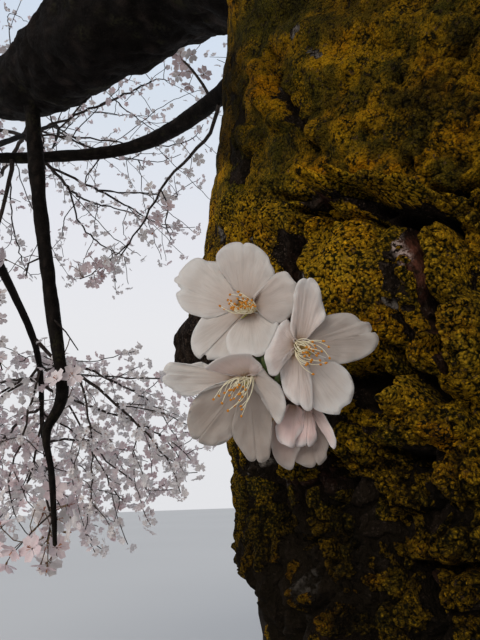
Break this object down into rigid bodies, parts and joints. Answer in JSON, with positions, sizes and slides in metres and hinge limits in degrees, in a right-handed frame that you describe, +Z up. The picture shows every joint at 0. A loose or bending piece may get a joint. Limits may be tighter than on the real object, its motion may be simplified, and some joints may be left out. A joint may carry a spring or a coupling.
{
  "type": "cherry blossom tree",
  "caption": "Mature cherry tree in full white blossom: stout trunk with root flare, spreading boughs, broad domed crown and a small bloom cluster on the trunk.",
  "frame": {"origin": "middle of the flat cut under the trunk, at ground level", "axes": "+Z up the trunk; +Y is the way the picture looks, past the trunk's left side; +X to the picture's right"},
  "size_m": [9.1565, 8.7236, 6.9541],
  "materials": {
    "bark": "rough, fissured dark brown bark with mustard and olive lichen and glossy reddish patches round the knot",
    "bough_bark": "dark grey-brown young bark with pale crosswise pores, matt",
    "spur_bark": "ringed brown twig bark with small bud scales, satin",
    "blossom": "loose clusters of small matt white flowers with pink throats and pink buds",
    "petal": "thin silky white petals, faintly pink and finely veined, with cream stamens and orange anthers"
  },
  "bodies": {
    "root": {"trunk": "bark", "trunk_burl": "bark", "bough_centre": "bough_bark", "bough_right": "bough_bark", "bough_back": "bough_bark", "bough_side_left": "bough_bark", "bough_front_left": "bough_bark", "bough_front_right": "bough_bark", "bough_back_right": "bough_bark", "bough_left": "bough_bark", "limb_behind": "bough_bark", "branch_hanging": "bough_bark", "fork_top_right": "bough_bark", "fork_top_left": "bough_bark", "fork_top_front": "bough_bark", "droop_back_left": "bough_bark", "droop_right": "bough_bark", "droop_left": "bough_bark", "droop_front": "bough_bark", "droop_back": "bough_bark", "mass_top": "blossom", "mass_top_right": "blossom", "mass_top_left": "blossom", "mass_top_front": "blossom", "mass_right": "blossom", "mass_front_right": "blossom", "mass_front_left": "blossom", "mass_side_left": "blossom", "mass_left": "blossom", "mass_back": "blossom", "mass_back_right": "blossom", "mass_back_left": "blossom", "mass_low_back_left": "blossom", "mass_low_right": "blossom", "mass_low_left": "blossom", "mass_low_front": "blossom", "mass_low_back": "blossom", "bloom_spur": "spur_bark", "bloom_upper": "petal", "bloom_right": "petal", "bloom_lower_left": "petal", "bloom_half_open": "petal"}
  },
  "joints": []
}
